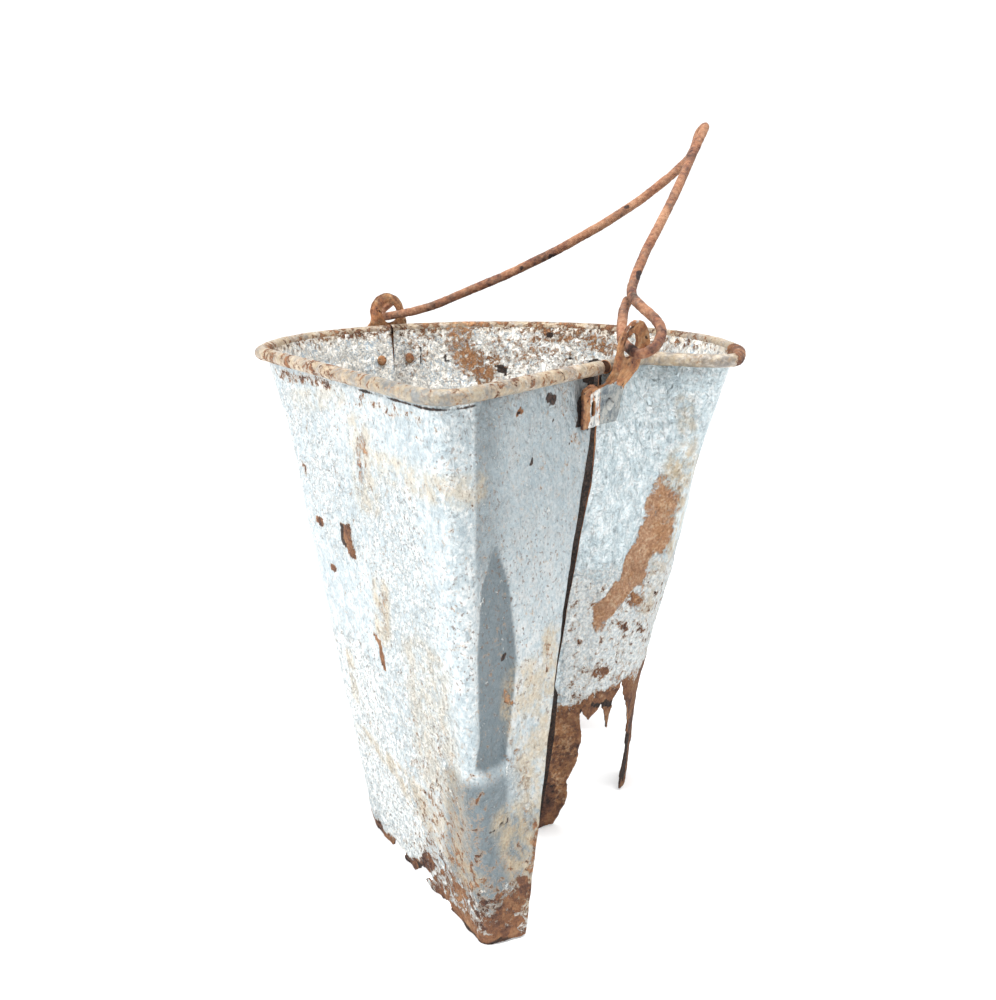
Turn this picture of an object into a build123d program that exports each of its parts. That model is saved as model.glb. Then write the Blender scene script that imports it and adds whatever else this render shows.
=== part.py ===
from build123d import *
from math import cos, radians, sin, tan
import os

# An old galvanised bucket, open at the bottom, in two half shells held together by its two ears.
# Millimetres, +Z up. The origin is on the floor, under the middle of the whole object.

# ---- driving dimensions -------------------------------------------------------------------
RIM_R = 150.0  # rim radius before the bucket was crushed
HEIGHT = 300.0  # floor to the top of the rolled bead
SHEET = 1.0  # body sheet
BEAD_R = 4.0  # rolled bead, outer radius
RIM_WIRE_R = 2.95  # wire inside the bead
BAIL_R = 3.25  # bail wire
EAR_SHEET = 1.8  # ear plate
EAR_LOBE_R = 14.5  # rounded top of an ear
EAR_HOLE_R = 7.0  # hole that the bail turns in
EAR_FLANGE = 4.5  # the turned-out edge round an ear's top reaches this far out from the pivot
EAR_SIDE = 20.0  # width of one leaf of an ear
EAR_LOW = 42.0  # ear's lower edge, below the pivot
RIVET_R = 2.5
RIVET_HEAD_R = 4.2
RIVET_HEAD_H = 1.8
FIT = 0.1  # gap left round a rivet
BAIL_LEAN = 50.0  # the bail leans this far from upright, degrees

RIM_MIDDLE = (-0.2, 15.5)  # the rim's middle in plan, seen from the origin
BEAD_Z = HEIGHT - BEAD_R
BEAD_OUT = BEAD_R - 0.7 * SHEET  # the bead centre stands this far outside the wall's outer face

NEAR_PIVOT = (0.480, -0.517, HEIGHT + 5.7)
FAR_PIVOT = (-0.545, 0.862, HEIGHT + 5.5)


def place(x, y, z=0.0):
    """A point in the part's frame. x and y are in rim radii from the middle of the rim."""
    return Vector(RIM_MIDDLE[0] + RIM_R * x, RIM_MIDDLE[1] + RIM_R * y, z)


# ---- the wall's outer face, level by level ------------------------------------------------
# Each level is a height, then the corners of the half shell's outline in plan, then the
# radii that round those corners. Corners are in rim radii.
# Front half: far seam, a point on the round left side, left corner, front corner, near seam.
FRONT_LEVELS = [
    (
        BEAD_Z,
        (-0.533, 0.790), (-0.905, 0.350), (-0.965, -0.100),
        (-0.186, -1.250), (0.355, -0.525),
        18, 13,
    ),
    (
        255,
        (-0.512, 0.720), (-0.835, 0.300), (-0.885, -0.150),
        (-0.165, -1.258), (0.335, -0.600),
        20, 11,
    ),
    (
        195,
        (-0.500, 0.618), (-0.755, 0.230), (-0.800, -0.235),
        (-0.135, -1.259), (0.262, -0.760),
        22, 9,
    ),
    (
        0,
        (-0.460, 0.280), (-0.560, -0.080), (-0.530, -0.450),
        (-0.060, -1.241), (0.095, -1.180),
        22, 8,
    ),
]
# Rear half: near seam, the dent, the right corner, the right side, a point on the round
# back, far seam.
REAR_LEVELS = [
    (
        BEAD_Z,
        (0.375, -0.505), (0.560, -0.238), (0.905, -0.345),
        (0.970, -0.080), (0.540, 0.815), (-0.530, 0.800),
        16, 14, 20,
    ),
    (
        240,
        (0.355, -0.520), (0.560, -0.350), (0.815, -0.270),
        (0.860, -0.040), (0.470, 0.755), (-0.517, 0.715),
        20, 20, 20,
    ),
    (
        155,
        (0.268, -0.510), (0.440, -0.425), (0.680, -0.235),
        (0.770, 0.000), (0.390, 0.680), (-0.420, 0.634),
        30, 25, 25,
    ),
    (
        63,
        (0.185, -0.500), (0.350, -0.430), (0.555, -0.225),
        (0.622, -0.020), (0.310, 0.570), (-0.310, 0.560),
        30, 18, 25,
    ),
    (
        0,
        (0.115, -0.490), (0.300, -0.410), (0.530, -0.205),
        (0.590, -0.040), (0.280, 0.500), (-0.250, 0.500),
        30, 15, 25,
    ),
]


def flat(corner):
    """A corner, given in rim radii, as a point of the plan."""
    spot = place(*corner)
    return (spot.X, spot.Y)


def front_line(level):
    """The front half's outer face at one level, as a wire in plan."""
    _, far, side, left, front, near, left_round, front_round = level
    with BuildLine() as line:
        ThreePointArc(flat(far), flat(side), flat(left))
        Line(flat(left), flat(front))
        Line(flat(front), flat(near))
        fillet([v for v in line.vertices() if (v.center() - place(*left)).length < 1], left_round)
        fillet([v for v in line.vertices() if (v.center() - place(*front)).length < 1], front_round)
    return line.wire()


def rear_line(level):
    """The rear half's outer face at one level, as a wire in plan."""
    _, near, dent, right, side, back, far, dent_round, right_round, side_round = level
    with BuildLine() as line:
        Line(flat(near), flat(dent))
        Line(flat(dent), flat(right))
        Line(flat(right), flat(side))
        ThreePointArc(flat(side), flat(back), flat(far))
        for corner, radius in ((dent, dent_round), (right, right_round), (side, side_round)):
            fillet([v for v in line.vertices() if (v.center() - place(*corner)).length < 1], radius)
    return line.wire()


def sheet_face(wire, height):
    """The sheet's cut section at a height: the outer face's line, thickened inwards."""
    with BuildSketch(Plane.XY.offset(height)) as section:
        with BuildLine():
            add(wire)
            offset(amount=SHEET, side=Side.LEFT)
        make_face()
    return section.sketch.face()


def bead_line(wire):
    """The centre line of the rolled bead that runs round an outline."""
    with BuildLine() as line:
        offset(wire.moved(Location((0, 0, BEAD_Z))), amount=BEAD_OUT, side=Side.RIGHT, closed=False)
    return line.wire()


def crosswise(path):
    """The plane square to a path at its start."""
    return Plane(path @ 0, z_dir=path % 0)


# ---- the ears' frames ---------------------------------------------------------------------
NEAR = place(*NEAR_PIVOT)
FAR = place(*FAR_PIVOT)
UP = Vector(0, 0, 1)
NEAR_OUT = Vector(0.785, -0.62, 0).normalized()  # away from the wall at the near seam
FAR_OUT = Vector(-0.6, 0.8, 0)  # away from the wall at the far seam


def spot(pivot, out, across, outward, up):
    """A point beside a pivot: so far along the wall, away from it, and up."""
    return pivot + UP.cross(out) * across + out * outward + UP * up


def face_plane(pivot, out):
    """Looks at an ear square on from outside: x runs along the wall, y up."""
    return Plane(pivot, x_dir=UP.cross(out), z_dir=out)


def side_plane(pivot, out):
    """Looks at an ear from its side: x points away from the wall, y up."""
    return Plane(pivot, x_dir=out, z_dir=out.cross(UP))


# Outer face of an ear's plate seen from the side, top to bottom: outward and up from the pivot.
# It leans out at the top, stands clear of the bead, then steps in to the wall.
NEAR_SIDE_LINE = [(4.2, 19.0), (0.9, 0.0), (-1.5, -11.0), (-8.8, -21.5), (-9.0, -EAR_LOW)]
FAR_SIDE_LINE = [(4.4, 19.0), (1.3, 0.0), (1.8, -14.0), (-8.8, -22.5), (-13.0, -EAR_LOW)]

# Corners of an ear's outline below its round top, seen from outside, right edge to left edge.
NEAR_CORNERS = [(EAR_LOBE_R, -17), (6.0, -24), (4.0, -EAR_LOW), (-EAR_LOBE_R, -EAR_LOW)]
FAR_CORNERS = [
    (EAR_LOBE_R, 0),
    (EAR_SIDE + 2, -11),
    (EAR_SIDE + 2, -EAR_LOW),
    (4 - EAR_SIDE, -EAR_LOW),
    (4 - EAR_SIDE, -17),
    (-EAR_LOBE_R, -15),
]
EAR_HOLE_UP = 2.5  # the bail hangs in the lower part of the hole

# Rivets: place along the wall and out from the pivot, the plate's lean there, and the grip
# from the ear's outer face to the wall's inner face.
RIVET_UP = -31.0
NEAR_RIVET = (NEAR, NEAR_OUT, -5.0, -8.9, 0.6, 6.0)
FAR_LEFT_RIVET = (FAR, FAR_OUT, 17.5, -10.6, 12.2, 5.4)
FAR_RIGHT_RIVET = (FAR, FAR_OUT, -6.5, -10.6, 12.2, 5.0)
RIVETS = {
    "near_ear_rivet": NEAR_RIVET,
    "far_ear_rivet_left": FAR_LEFT_RIVET,
    "far_ear_rivet_right": FAR_RIGHT_RIVET,
}


def rivet_plane(rivet):
    """Stands on an ear's outer face at a rivet, with z pointing away from the wall."""
    pivot, out, across, outward, lean, _ = rivet
    square = out * cos(radians(lean)) - UP * sin(radians(lean))
    return Plane(spot(pivot, out, across, outward, RIVET_UP), z_dir=square)


def rivet_holes(rivets):
    """Cuts a hole for each rivet through what the block around it has made."""
    with Locations(*[rivet_plane(rivet) for rivet in rivets]):
        Cylinder(RIVET_R + FIT, 40, mode=Mode.SUBTRACT)


# ---- front half shell ---------------------------------------------------------------------
front_wire = front_line(FRONT_LEVELS[0])
rear_wire = rear_line(REAR_LEVELS[0])
front_bead = bead_line(front_wire)
rear_bead = bead_line(rear_wire)

# What rust has eaten from the front half's lower edge on its left: x in rim radii, then height.
FRONT_BITE = [(-0.62, -9), (-0.62, 16), (-0.54, 10), (-0.50, 21), (-0.44, 13), (-0.40, 15), (-0.38, -9)]

with BuildPart() as front_shell:
    loft(sections=[sheet_face(front_line(level), level[0]) for level in FRONT_LEVELS], ruled=True)
    with BuildSketch(crosswise(front_bead)):
        Circle(BEAD_R)
        Circle(BEAD_R - SHEET, mode=Mode.SUBTRACT)
    sweep(path=front_bead)
    with BuildSketch(Plane.XZ) as bite:
        with BuildLine():
            Polyline(*[(place(x, 0).X, z) for x, z in FRONT_BITE], close=True)
        make_face()
    extrude(amount=-RIM_R, mode=Mode.SUBTRACT)
    rivet_holes([FAR_LEFT_RIVET])
front_shell.part.label = "front_shell"

# ---- rear half shell ----------------------------------------------------------------------
# Eaten away between the seam leg and the right leg, seen from the front: x in rim radii, height.
ARCH = [
    (0.235, -9), (0.225, 2), (0.278, 15), (0.290, 22), (0.278, 31), (0.318, 44), (0.337, 55), (0.330, 84),
    (0.365, 70), (0.385, 74), (0.425, 80), (0.455, 60), (0.480, 80), (0.519, 90), (0.548, 70), (0.566, 50),
    (0.565, 32), (0.540, 12), (0.535, -9),
]
# Eaten away behind the right leg, seen from the right: y in rim radii, height.
BACK_BITE = [
    (0.020, -9), (0.025, 50), (0.050, 96), (0.130, 84), (0.210, 95), (0.280, 70), (0.340, 62), (0.390, 38),
    (0.420, 25), (0.425, -9),
]

with BuildPart() as rear_shell:
    loft(sections=[sheet_face(rear_line(level), level[0]) for level in REAR_LEVELS], ruled=True)
    with BuildSketch(crosswise(rear_bead)):
        Circle(BEAD_R)
        Circle(BEAD_R - SHEET, mode=Mode.SUBTRACT)
    sweep(path=rear_bead)
    with BuildSketch(Plane.XZ.offset(-place(0, -0.1).Y)) as arch:
        with BuildLine():
            Polyline(*[(place(x, 0).X, z) for x, z in ARCH], close=True)
        make_face()
    extrude(amount=RIM_R, mode=Mode.SUBTRACT)
    with BuildSketch(Plane.YZ.offset(place(0.3, 0).X)) as behind_leg:
        with BuildLine():
            Polyline(*[(place(0, y).Y, z) for y, z in BACK_BITE], close=True)
        make_face()
    extrude(amount=RIM_R, mode=Mode.SUBTRACT)
    rivet_holes([NEAR_RIVET, FAR_RIGHT_RIVET])
rear_shell.part.label = "rear_shell"

# ---- wires inside the rolled beads --------------------------------------------------------
# The front bead's end by the near ear is empty: its wire stops short there.
FRONT_WIRE_STOP = 0.94  # of the bead's length, from the far seam


def wire_bar(path):
    """The rim wire that lies in one bead."""
    with BuildPart() as bar:
        with BuildSketch(crosswise(path)):
            Circle(RIM_WIRE_R)
        sweep(path=path)
    return bar.part


front_rim_wire = wire_bar(front_bead.trim(0.0, FRONT_WIRE_STOP))
front_rim_wire.label = "front_rim_wire"
rear_rim_wire = wire_bar(rear_bead)
rear_rim_wire.label = "rear_rim_wire"


# ---- ears ---------------------------------------------------------------------------------
def plate(pivot, out, side_line, corners):
    """An ear's pressed plate: its side view, as wide as its outline seen from outside."""
    with BuildPart() as body:
        with BuildSketch(side_plane(pivot, out)):
            with BuildLine():
                Polyline(*side_line)
                offset(amount=EAR_SHEET, side=Side.RIGHT)
            make_face()
        extrude(amount=40, both=True)
        with BuildSketch(face_plane(pivot, out)) as outline:
            with BuildLine():
                top = CenterArc((0, EAR_HOLE_UP), EAR_LOBE_R, 0, 180)
                Polyline(top @ 0, *corners, top @ 1)
            make_face()
        extrude(amount=40, both=True, mode=Mode.INTERSECT)
        with BuildSketch(face_plane(pivot, out)) as edge:
            with Locations((0, EAR_HOLE_UP)):
                Circle(EAR_LOBE_R)
                Circle(EAR_LOBE_R - EAR_SHEET, mode=Mode.SUBTRACT)
            with Locations((0, -EAR_LOBE_R)):
                Rectangle(3 * EAR_LOBE_R, 2 * EAR_LOBE_R, mode=Mode.SUBTRACT)
        extrude(amount=EAR_FLANGE)
        with Locations(face_plane(spot(pivot, out, 0, 0, EAR_HOLE_UP), out)):
            Cylinder(EAR_HOLE_R, 40, mode=Mode.SUBTRACT)
    return body.part


LEAF_TURN = 6.0  # the near ear's left leaf is bent out by this, degrees
leaf_out = NEAR_OUT.rotate(Axis.Z, LEAF_TURN)
fold = spot(NEAR, NEAR_OUT, -EAR_LOBE_R, NEAR_SIDE_LINE[-1][0] - EAR_SHEET / 2, 0)
leaf_plane = face_plane(fold, leaf_out)

with BuildPart() as near_ear:
    add(plate(NEAR, NEAR_OUT, NEAR_SIDE_LINE, NEAR_CORNERS))
    with BuildSketch(leaf_plane.offset(-EAR_SHEET / 2)) as leaf:
        with BuildLine():
            Polyline((0.5, -20), (-EAR_SIDE, -16), (-EAR_SIDE, -EAR_LOW), (0.5, -EAR_LOW), close=True)
        make_face()
        with Locations((-EAR_SIDE / 2 + 2, RIVET_UP)):
            SlotOverall(9.0, 5.4, rotation=90, mode=Mode.SUBTRACT)
    extrude(amount=EAR_SHEET)
    rivet_holes([NEAR_RIVET])
near_ear.part.label = "near_ear"

with BuildPart() as far_ear:
    add(plate(FAR, FAR_OUT, FAR_SIDE_LINE, FAR_CORNERS))
    rivet_holes([FAR_LEFT_RIVET, FAR_RIGHT_RIVET])
far_ear.part.label = "far_ear"

# ---- rivets -------------------------------------------------------------------------------
rivets = {}
for name, rivet in RIVETS.items():
    grip = rivet[-1]
    with BuildPart(rivet_plane(rivet)) as peg:
        with Locations((0, 0, FIT)):
            Cylinder(RIVET_R, grip + 2 * FIT, align=(Align.CENTER, Align.CENTER, Align.MAX))
        with Locations((0, 0, FIT), (0, 0, -grip - FIT - RIVET_HEAD_H)):
            Cylinder(RIVET_HEAD_R, RIVET_HEAD_H, align=(Align.CENTER, Align.CENTER, Align.MIN))
    peg.part.label = name
    rivets[name] = peg.part


# ---- bail ---------------------------------------------------------------------------------
# Its plane holds both pivots. x runs from the near pivot to the far one, y up the bail, and z
# is how far the bent wire leaves the plane.
AXIS_MIDDLE = (NEAR + FAR) * 0.5
AXIS = (FAR - NEAR).normalized()
HALF_SPAN = (FAR - NEAR).length / 2
SIDEWAYS = AXIS.cross(UP).normalized()  # the bail has fallen towards this side
BAIL_UP = UP * cos(radians(BAIL_LEAN)) + SIDEWAYS * sin(radians(BAIL_LEAN))
BAIL_PLANE = Plane(AXIS_MIDDLE, x_dir=AXIS, z_dir=AXIS.cross(BAIL_UP))

# Hooks: outward from the pivot, and up the bail. The near one goes back over its ear.
NEAR_HOOK = [
    (-20.0, 16.5), (-10.5, 5.0), (0.0, 0.8), (10.5, -3.2), (18.0, 4.0), (12.8, 17.0),
    (-0.7, 25.5), (-16.1, 32.5), (-35.1, 41.8),
]
FAR_HOOK = [
    (-41.7, 15.5), (-21.7, 7.0), (0.0, 0.8), (11.0, -2.8), (18.6, 4.5), (15.0, 15.0),
]
# The long bent wire between them, folded back on itself at its top.
BAIL_LINE = [
    (-84.6, 60.7, 0), (-76.3, 81.0, 0), (-69.5, 103.1, 0), (-62.0, 126.0, 0), (-54.0, 147.8, 0),
    (-43.4, 174.5, 0), (-35.8, 196.0, 0), (-29.5, 207.5, 1.5), (-22.8, 204.0, 5.5), (-29.5, 190.5, 6.8),
    (-33.4, 178.2, 6.8), (-31.0, 157.0, 5.8), (-24.4, 131.2, 4.0), (-12.7, 105.6, 2.0), (7.3, 76.5, 0),
    (36.4, 51.2, 0), (68.6, 28.7, 0),
]
# The near hook's end leaves the plane to pass behind the bail.
NEAR_END = [(-43.0, 44.5, 6.9), (-32.6, 30.5, 3.0)]
BAIL_POINTS = [
    *[(-HALF_SPAN - outward, up, aside) for outward, up, aside in NEAR_END],
    *[(-HALF_SPAN - outward, up, 0) for outward, up in NEAR_HOOK],
    *BAIL_LINE,
    *[(HALF_SPAN + outward, up, 0) for outward, up in FAR_HOOK],
]


def bend_radii(points):
    """For each inner corner of a line, a bend that uses up almost half of its shorter run."""
    radii = []
    for before, corner, after in zip(points, points[1:], points[2:]):
        run_in = Vector(*corner) - Vector(*before)
        run_out = Vector(*after) - Vector(*corner)
        half_turn = radians(run_in.get_angle(run_out)) / 2
        radii.append(min(60.0, 0.46 * min(run_in.length, run_out.length) / tan(half_turn)))
    return radii


with BuildPart() as bail:
    with BuildLine(BAIL_PLANE) as bail_line:
        FilletPolyline(*BAIL_POINTS, radius=bend_radii(BAIL_POINTS))
    with BuildSketch(crosswise(bail_line.wire())):
        Circle(BAIL_R)
    sweep()
bail.part.label = "bail"

pieces = [
    front_shell.part,
    rear_shell.part,
    front_rim_wire,
    rear_rim_wire,
    near_ear.part,
    far_ear.part,
    *rivets.values(),
    bail.part,
]
os.makedirs("parts", exist_ok=True)
for piece in pieces:
    export_step(piece, f"parts/{piece.label}.step")
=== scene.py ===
import math

import bpy
import numpy as np
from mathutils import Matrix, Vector


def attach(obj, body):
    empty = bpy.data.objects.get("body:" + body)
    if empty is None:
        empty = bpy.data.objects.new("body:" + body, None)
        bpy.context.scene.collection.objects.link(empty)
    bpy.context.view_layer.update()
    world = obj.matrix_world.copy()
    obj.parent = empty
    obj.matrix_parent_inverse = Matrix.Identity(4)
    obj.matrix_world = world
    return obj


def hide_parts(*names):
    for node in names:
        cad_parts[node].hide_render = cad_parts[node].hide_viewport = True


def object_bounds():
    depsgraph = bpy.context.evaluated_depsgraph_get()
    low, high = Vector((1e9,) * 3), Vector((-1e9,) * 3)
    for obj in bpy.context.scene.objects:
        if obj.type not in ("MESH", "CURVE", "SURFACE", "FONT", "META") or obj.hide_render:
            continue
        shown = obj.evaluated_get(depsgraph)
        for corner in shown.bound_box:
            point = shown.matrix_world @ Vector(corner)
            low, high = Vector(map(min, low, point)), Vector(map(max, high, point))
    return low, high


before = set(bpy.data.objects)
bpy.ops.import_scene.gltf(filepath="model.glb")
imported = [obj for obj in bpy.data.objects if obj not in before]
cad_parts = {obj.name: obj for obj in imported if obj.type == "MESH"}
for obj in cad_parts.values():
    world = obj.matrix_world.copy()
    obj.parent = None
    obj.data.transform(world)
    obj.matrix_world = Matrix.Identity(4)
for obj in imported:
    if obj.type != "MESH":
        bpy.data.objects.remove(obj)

cad_low, cad_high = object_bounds()

# An old crushed galvanised bucket. Metres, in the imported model's frame: +Z up, floor at 0.
MM = 0.001
RIM_R = 0.150
HEIGHT = 0.300
SHEET = 1.0 * MM
BEAD_Z = HEIGHT - 4 * MM
RIM_MIDDLE = np.array([-0.0002, 0.0155])
BAIL_R = 3.25 * MM
EAR_SHEET = 1.8 * MM
BUCKET = "bucket"
BAIL = "bail"

scene = bpy.context.scene


# ---- numbers that vary smoothly in space --------------------------------------------------
def lattice(cell, seed):
    """A repeatable random number from -1 to 1 for each whole-number cell."""
    n = cell[..., 0] * 73856093 ^ cell[..., 1] * 19349663 ^ cell[..., 2] * 83492791 ^ seed * 2654435761
    n = (n ^ (n >> 13)) * 1274126177 & 0xFFFFFFFF
    n = (n ^ (n >> 16)) * 2246822519 & 0xFFFFFFFF
    n = n ^ (n >> 15)
    return (n & 0xFFFFFF) / float(0x7FFFFF) - 1.0


def noise(points, size, seed=0):
    """Smooth noise from -1 to 1 whose lumps are about this size."""
    p = np.asarray(points, float) / size
    base = np.floor(p).astype(np.int64)
    f = p - base
    f = f * f * f * (f * (f * 6 - 15) + 10)
    total = np.zeros(p.shape[:-1])
    for corner in np.ndindex(2, 2, 2):
        weight = np.ones(p.shape[:-1])
        for axis in range(3):
            weight = weight * (f[..., axis] if corner[axis] else 1 - f[..., axis])
        total += weight * lattice(base + np.array(corner), seed)
    return total


def rough(points, size, seed=0, octaves=3):
    """Noise with finer lumps added on."""
    return sum(noise(points, size / 2.1**k, seed + 17 * k) / 1.9**k for k in range(octaves)) / 1.5


def smooth(low, high, value):
    """0 below low, 1 above high, and an easy curve between."""
    t = np.clip((np.asarray(value, float) - low) / (high - low), 0, 1)
    return t * t * (3 - 2 * t)


def inside_distance(points, corners):
    """Distance to a polygon's edge in its plane, positive inside it."""
    x, y = points[..., 0], points[..., 1]
    nearest = np.full(x.shape, 1e9)
    inside = np.zeros(x.shape, bool)
    for (ax, ay), (bx, by) in zip(corners, corners[1:] + corners[:1]):
        dx, dy = bx - ax, by - ay
        t = np.clip(((x - ax) * dx + (y - ay) * dy) / (dx * dx + dy * dy), 0, 1)
        nearest = np.minimum(nearest, np.hypot(x - ax - t * dx, y - ay - t * dy))
        if ay != by:
            crosses = ((ay > y) != (by > y)) & (x < dx * (y - ay) / dy + ax)
            inside ^= crosses
    return np.where(inside, nearest, -nearest)


# ---- meshes -------------------------------------------------------------------------------
def cut_grid(keep):
    """Cuts a grid along keep = 0. Gives its points, each as a step between two grid points, and its faces."""
    rows, cols = keep.shape
    inside = keep > 0
    steps, where = [], {}

    def corner(i, j):
        key = (i, j, i, j)
        if key not in where:
            where[key] = len(steps)
            steps.append((i, j, i, j, 0.0))
        return where[key]

    def crossing(a, b):
        a, b = min(a, b), max(a, b)
        key = (*a, *b)
        if key not in where:
            t = keep[a] / (keep[a] - keep[b])
            where[key] = len(steps)
            steps.append((*a, *b, min(max(t, 0.06), 0.94)))
        return where[key]

    faces, cells = [], []
    for i in range(rows - 1):
        for j in range(cols - 1):
            ring = [(i, j), (i, j + 1), (i + 1, j + 1), (i + 1, j)]
            flags = [inside[c] for c in ring]
            if not any(flags):
                continue
            face = []
            for k in range(4):
                if flags[k]:
                    face.append(corner(*ring[k]))
                if flags[k] != flags[(k + 1) % 4]:
                    face.append(crossing(ring[k], ring[(k + 1) % 4]))
            if len(face) > 2:
                faces.append(face)
                cells.append((i, j))
    return np.array(steps), faces, np.array(cells)


def on_steps(grid, steps):
    """A grid's values at the points that cut_grid gave."""
    i0, j0, i1, j1 = steps[:, :4].astype(int).T
    t = steps[:, 4]
    if grid.ndim > 2:
        t = t[:, None]
    return grid[i0, j0] * (1 - t) + grid[i1, j1] * t


def point_normals(points, faces):
    """The average direction of the faces round each point."""
    normals = np.zeros_like(points)
    for face in faces:
        a, b, c = points[face[0]], points[face[1]], points[face[2]]
        n = np.cross(b - a, c - a)
        for k in face:
            normals[k] += n
    return normals / np.maximum(np.linalg.norm(normals, axis=1, keepdims=True), 1e-12)


def new_piece(name, points, faces, materials, body, kinds=None, paint=None, replaces=()):
    """A smooth mesh piece that rides on a body. kinds picks a material for each face."""
    mesh = bpy.data.meshes.new(name)
    inside = np.clip(points, np.array(cad_low) + 0.05 * MM, np.array(cad_high) - 0.05 * MM)
    mesh.from_pydata([tuple(p) for p in inside], [], [tuple(f) for f in faces])
    for material in materials:
        mesh.materials.append(material)
    if kinds is not None:
        mesh.polygons.foreach_set("material_index", np.asarray(kinds, np.int32))
    mesh.polygons.foreach_set("use_smooth", np.ones(len(mesh.polygons), bool))
    for key, values in (paint or {}).items():
        layer = mesh.attributes.new(key, "FLOAT", "POINT")
        layer.data.foreach_set("value", np.asarray(values, np.float32))
    mesh.validate()
    mesh.update()
    piece = bpy.data.objects.new(name, mesh)
    scene.collection.objects.link(piece)
    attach(piece, body)
    if replaces:
        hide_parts(*replaces)
    return piece


def thicken(points, faces, kinds, thickness, edge_kind, inner_kinds):
    """Both faces of a sheet, and the narrow face along its edges."""
    normals = point_normals(points, faces)
    half = (np.asarray(thickness) / 2).reshape(-1, 1)
    count = len(points)
    both = np.concatenate([points + normals * half, points - normals * half])
    used = {}
    for face in faces:
        for a, b in zip(face, face[1:] + face[:1]):
            used[(a, b)] = used.get((a, b), 0) + 1
    edges = [(a, b) for a, b in used if (b, a) not in used]
    all_faces = list(faces) + [[k + count for k in reversed(f)] for f in faces]
    all_faces += [[a + count, b + count, b, a] for a, b in edges]
    all_kinds = list(kinds) + list(inner_kinds) + [edge_kind] * len(edges)
    return both, all_faces, all_kinds


# ---- the wall's shape ---------------------------------------------------------------------
def plan(corner):
    return RIM_MIDDLE + RIM_R * np.array(corner)


def arc_through(a, b, c, steps=400):
    """Points along the circle through three points."""
    d = 2 * (a[0] * (b[1] - c[1]) + b[0] * (c[1] - a[1]) + c[0] * (a[1] - b[1]))
    sq = [p @ p for p in (a, b, c)]
    centre = np.array(
        [
            (sq[0] * (b[1] - c[1]) + sq[1] * (c[1] - a[1]) + sq[2] * (a[1] - b[1])) / d,
            (sq[0] * (c[0] - b[0]) + sq[1] * (a[0] - c[0]) + sq[2] * (b[0] - a[0])) / d,
        ]
    )
    angles = [math.atan2(*(p - centre)[::-1]) for p in (a, b, c)]
    while angles[1] < angles[0]:
        angles[1] += 2 * math.pi
    while angles[2] < angles[1]:
        angles[2] += 2 * math.pi
    t = np.linspace(angles[0], angles[2], steps)
    return centre + np.linalg.norm(a - centre) * np.stack([np.cos(t), np.sin(t)], 1)


def line_between(a, b, steps=400):
    return a + (b - a) * np.linspace(0, 1, steps)[:, None]


def rounded(spans, radii, counts):
    """Joins spans end to end, rounding where they meet.

    counts has one entry per span and per corner between.
    """
    lengths = [np.r_[0, np.cumsum(np.linalg.norm(np.diff(s, axis=0), axis=1))] for s in spans]
    trims = []
    for k, radius in enumerate(radii):
        before = spans[k][-1] - spans[k][-4]
        after = spans[k + 1][3] - spans[k + 1][0]
        turn = math.acos(np.clip(before @ after / np.linalg.norm(before) / np.linalg.norm(after), -1, 1))
        room = 0.45 * min(lengths[k][-1], lengths[k + 1][-1])
        trims.append(min(radius * MM * math.tan(turn / 2) * 1.15, room))
    out = []
    for k, span in enumerate(spans):
        start = trims[k - 1] if k else 0
        end = lengths[k][-1] - (trims[k] if k < len(radii) else 0)
        at = np.linspace(start, end, counts[2 * k])
        out.append(np.stack([np.interp(at, lengths[k], span[:, axis]) for axis in (0, 1)], 1))
        if k < len(radii):
            first, tip, last = out[-1][-1], span[-1], None
            nxt = spans[k + 1]
            last = np.array([np.interp(trims[k], lengths[k + 1], nxt[:, axis]) for axis in (0, 1)])
            t = np.linspace(0, 1, counts[2 * k + 1] + 2)[1:-1, None]
            out.append((1 - t) ** 2 * first + 2 * t * (1 - t) * tip + t**2 * last)
    return np.concatenate(out)


# Height in millimetres, the outline's corners in rim radii, and the radii that round them.
FRONT_LEVELS = [
    (296, (-0.533, 0.790), (-0.905, 0.350), (-0.965, -0.100), (-0.186, -1.250), (0.355, -0.525), 18, 13),
    (255, (-0.512, 0.720), (-0.835, 0.300), (-0.885, -0.150), (-0.165, -1.258), (0.335, -0.600), 20, 11),
    (195, (-0.500, 0.618), (-0.755, 0.230), (-0.800, -0.235), (-0.135, -1.259), (0.262, -0.760), 22, 9),
    (0, (-0.460, 0.280), (-0.560, -0.080), (-0.530, -0.450), (-0.060, -1.241), (0.095, -1.180), 22, 8),
]
REAR_LEVELS = [
    (296, (0.375, -0.505), (0.560, -0.238), (0.905, -0.345), (0.970, -0.080), (0.540, 0.815),
     (-0.530, 0.800), 16, 14, 20),
    (240, (0.355, -0.520), (0.560, -0.350), (0.815, -0.270), (0.860, -0.040), (0.470, 0.755),
     (-0.517, 0.715), 20, 20, 20),
    (155, (0.268, -0.510), (0.440, -0.425), (0.680, -0.235), (0.770, 0.000), (0.390, 0.680),
     (-0.420, 0.634), 30, 25, 25),
    (63, (0.185, -0.500), (0.350, -0.430), (0.555, -0.225), (0.622, -0.020), (0.310, 0.570),
     (-0.310, 0.560), 30, 18, 25),
    (0, (0.115, -0.490), (0.300, -0.410), (0.530, -0.205), (0.590, -0.040), (0.280, 0.500),
     (-0.250, 0.500), 30, 15, 25),
]


def front_outline(level):
    far, side, left, front, near = map(plan, level[1:6])
    spans = [arc_through(far, side, left), line_between(left, front), line_between(front, near)]
    return rounded(spans, level[6:], [80, 14, 84, 22, 58])


def rear_outline(level):
    near, dent, right, side, back, far = map(plan, level[1:7])
    spans = [line_between(near, dent), line_between(dent, right), line_between(right, side)]
    spans.append(arc_through(side, back, far))
    return rounded(spans, level[7:], [40, 14, 40, 18, 26, 14, 112])


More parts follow.
